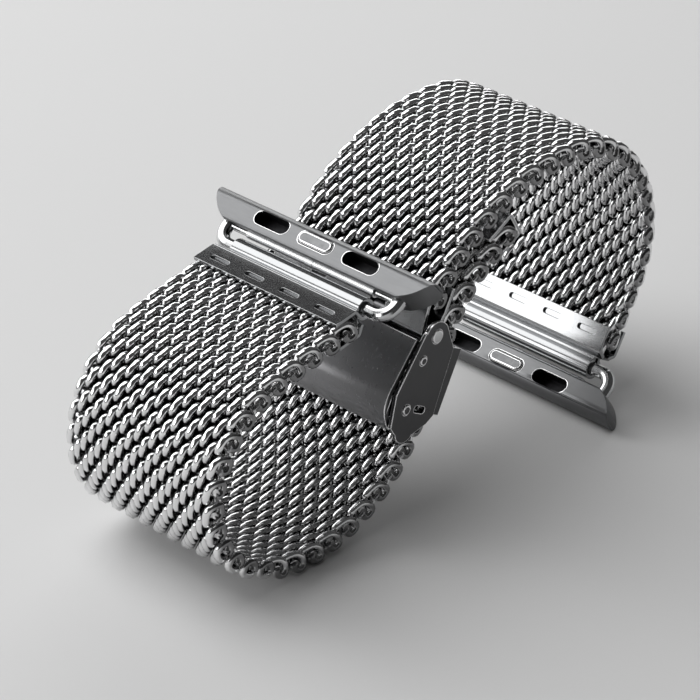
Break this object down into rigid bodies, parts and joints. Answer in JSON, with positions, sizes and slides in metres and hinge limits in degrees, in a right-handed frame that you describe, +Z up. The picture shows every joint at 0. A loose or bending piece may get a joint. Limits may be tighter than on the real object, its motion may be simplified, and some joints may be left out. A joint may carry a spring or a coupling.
{
  "type": "milanese mesh watch band",
  "caption": "Woven wire watch band with a sliding lever clasp between its two straps, and a sprung lug bar on a bent-wire stirrup at each end, lying in an S.",
  "frame": {"origin": "on the table, under the middle of the whole band as it lies on its two edges of contact", "axes": "+X across the band, towards the edge that is nearer in the picture; +Y along the S, from the lower loop to the arch; +Z up from the table"},
  "size_m": [0.0256, 0.055, 0.0276],
  "materials": {
    "mesh_wire": "polished woven wire",
    "polished_steel": "polished",
    "satin_sheet": "satin, with bright rims",
    "brushed_cover": "brushed along the strap",
    "spring_steel": "bright"
  },
  "bodies": {
    "loop": {"long_mesh_loop": "mesh_wire"},
    "mesh_lug_1": {"long_mesh_lug_1": "mesh_wire"},
    "mesh_lug_2": {"long_mesh_lug_2": "mesh_wire"},
    "mesh_lug_3": {"long_mesh_lug_3": "mesh_wire"},
    "mesh_lug_4": {"long_mesh_lug_4": "mesh_wire", "end_ferrule_a": "polished_steel"},
    "mesh_rise": {"long_mesh_rise": "mesh_wire"},
    "mesh_clasp": {"long_mesh_clasp": "mesh_wire"},
    "mesh_tail": {"long_mesh_tail": "mesh_wire", "tail_cap": "polished_steel"},
    "clasp": {"clasp_channel": "satin_sheet", "cover_pin": "polished_steel", "spacer_pin": "polished_steel", "cross_bar": "polished_steel"},
    "cover": {"clasp_cover": "brushed_cover", "grip_bar": "satin_sheet"},
    "short_1": {"short_mesh_1": "mesh_wire", "knuckle_ferrule": "polished_steel"},
    "short_2": {"short_mesh_2": "mesh_wire"},
    "short_3": {"short_mesh_3": "mesh_wire"},
    "short_4": {"short_mesh_4": "mesh_wire"},
    "short_5": {"short_mesh_5": "mesh_wire"},
    "short_6": {"short_mesh_6": "mesh_wire", "end_ferrule_b": "polished_steel"},
    "adapter_a": {"stirrup_a": "polished_steel", "lug_bar_a": "satin_sheet", "lock_spring_a": "spring_steel", "spring_bar_tube_a": "polished_steel", "spring_bar_coil_a": "spring_steel"},
    "lock_button_a": {"lock_button_a": "satin_sheet"},
    "spring_bar_tip_a_near": {"spring_bar_tip_a_near": "polished_steel"},
    "spring_bar_tip_a_far": {"spring_bar_tip_a_far": "polished_steel"},
    "adapter_b": {"stirrup_b": "polished_steel", "lug_bar_b": "satin_sheet", "lock_spring_b": "spring_steel", "spring_bar_tube_b": "polished_steel", "spring_bar_coil_b": "spring_steel"},
    "lock_button_b": {"lock_button_b": "satin_sheet"},
    "spring_bar_tip_b_near": {"spring_bar_tip_b_near": "polished_steel"},
    "spring_bar_tip_b_far": {"spring_bar_tip_b_far": "polished_steel"}
  },
  "joints": [
    {"name": "mesh_lug_1_bend", "type": "hinge", "parent": "loop", "child": "mesh_lug_1", "pos_m": [0, -0.02045, 0.00173], "axis": [1, 0, 0], "range_deg": [-6, 28.9]},
    {"name": "mesh_lug_2_bend", "type": "hinge", "parent": "mesh_lug_1", "child": "mesh_lug_2", "pos_m": [0, -0.0262, 0.0072], "axis": [-1, 0, 0], "range_deg": [-34.2, 5.8]},
    {"name": "mesh_lug_3_bend", "type": "hinge", "parent": "mesh_lug_2", "child": "mesh_lug_3", "pos_m": [0, -0.02499, 0.01508], "axis": [1, 0, 0], "range_deg": [-7.2, 32.8]},
    {"name": "mesh_lug_4_bend", "type": "hinge", "parent": "mesh_lug_3", "child": "mesh_lug_4", "pos_m": [0, -0.0181, 0.01917], "axis": [-1, 0, 0], "range_deg": [-22.9, 15]},
    {"name": "mesh_rise_bend", "type": "hinge", "parent": "loop", "child": "mesh_rise", "pos_m": [0, -0.01235, 0.00148], "axis": [-1, 0, 0], "range_deg": [-7, 28.2]},
    {"name": "mesh_clasp_bend", "type": "hinge", "parent": "mesh_rise", "child": "mesh_clasp", "pos_m": [0, -0.00541, 0.00568], "axis": [1, 0, 0], "range_deg": [-28.2, 11.8]},
    {"name": "mesh_tail_bend", "type": "hinge", "parent": "mesh_clasp", "child": "mesh_tail", "pos_m": [0, 0.00092, 0.01622], "axis": [-1, 0, 0], "range_deg": [0, 11.6]},
    {"name": "clasp_slide", "type": "slide", "parent": "mesh_clasp", "child": "clasp", "axis": [0, 0.4912, 0.871], "range_m": [0, 0.0015]},
    {"name": "cover_turn", "type": "hinge", "parent": "clasp", "child": "cover", "pos_m": [0, -0.00584, 0.01122], "axis": [1, 0, 0], "range_deg": [0, 75]},
    {"name": "short_1_turn", "type": "hinge", "parent": "clasp", "child": "short_1", "pos_m": [0, -0.00202, 0.0167], "axis": [-1, 0, 0], "range_deg": [-28, 2]},
    {"name": "short_2_bend", "type": "hinge", "parent": "short_1", "child": "short_2", "pos_m": [0, 0.0047, 0.02401], "axis": [1, 0, 0], "range_deg": [-4, 26]},
    {"name": "short_3_bend", "type": "hinge", "parent": "short_2", "child": "short_3", "pos_m": [0, 0.01243, 0.02658], "axis": [-1, 0, 0], "range_deg": [-26, 14]},
    {"name": "short_4_bend", "type": "hinge", "parent": "short_3", "child": "short_4", "pos_m": [0, 0.02048, 0.02557], "axis": [1, 0, 0], "range_deg": [-9.3, 30.7]},
    {"name": "short_5_bend", "type": "hinge", "parent": "short_4", "child": "short_5", "pos_m": [0, 0.02591, 0.01963], "axis": [-1, 0, 0], "range_deg": [-30.7, 9.3]},
    {"name": "short_6_bend", "type": "hinge", "parent": "short_5", "child": "short_6", "pos_m": [0, 0.02588, 0.01159], "axis": [1, 0, 0], "range_deg": [-9.3, 30.7]},
    {"name": "adapter_a_turn", "type": "hinge", "parent": "mesh_lug_4", "child": "adapter_a", "pos_m": [0, -0.00817, 0.02094], "axis": [1, 0, 0], "range_deg": [-95, 50]},
    {"name": "lock_button_a_press", "type": "slide", "parent": "adapter_a", "child": "lock_button_a", "axis": [0, 0.5676, -0.8233], "range_m": [0, 0.00045], "stiffness_N_per_m": 2000},
    {"name": "spring_bar_tip_a_near_press", "type": "slide", "parent": "adapter_a", "child": "spring_bar_tip_a_near", "axis": [-1, 0, 0], "range_m": [0, 0.00045], "stiffness_N_per_m": 1500},
    {"name": "spring_bar_tip_a_far_press", "type": "slide", "parent": "adapter_a", "child": "spring_bar_tip_a_far", "axis": [1, 0, 0], "range_m": [0, 0.00045], "stiffness_N_per_m": 1500},
    {"name": "adapter_b_turn", "type": "hinge", "parent": "short_6", "child": "adapter_b", "pos_m": [0, 0.02048, 0.00307], "axis": [1, 0, 0], "range_deg": [-55, 95]},
    {"name": "lock_button_b_press", "type": "slide", "parent": "adapter_b", "child": "lock_button_b", "axis": [0, 0.5676, -0.8233], "range_m": [0, 0.00045], "stiffness_N_per_m": 2000},
    {"name": "spring_bar_tip_b_near_press", "type": "slide", "parent": "adapter_b", "child": "spring_bar_tip_b_near", "axis": [-1, 0, 0], "range_m": [0, 0.00045], "stiffness_N_per_m": 1500},
    {"name": "spring_bar_tip_b_far_press", "type": "slide", "parent": "adapter_b", "child": "spring_bar_tip_b_far", "axis": [1, 0, 0], "range_m": [0, 0.00045], "stiffness_N_per_m": 1500}
  ]
}
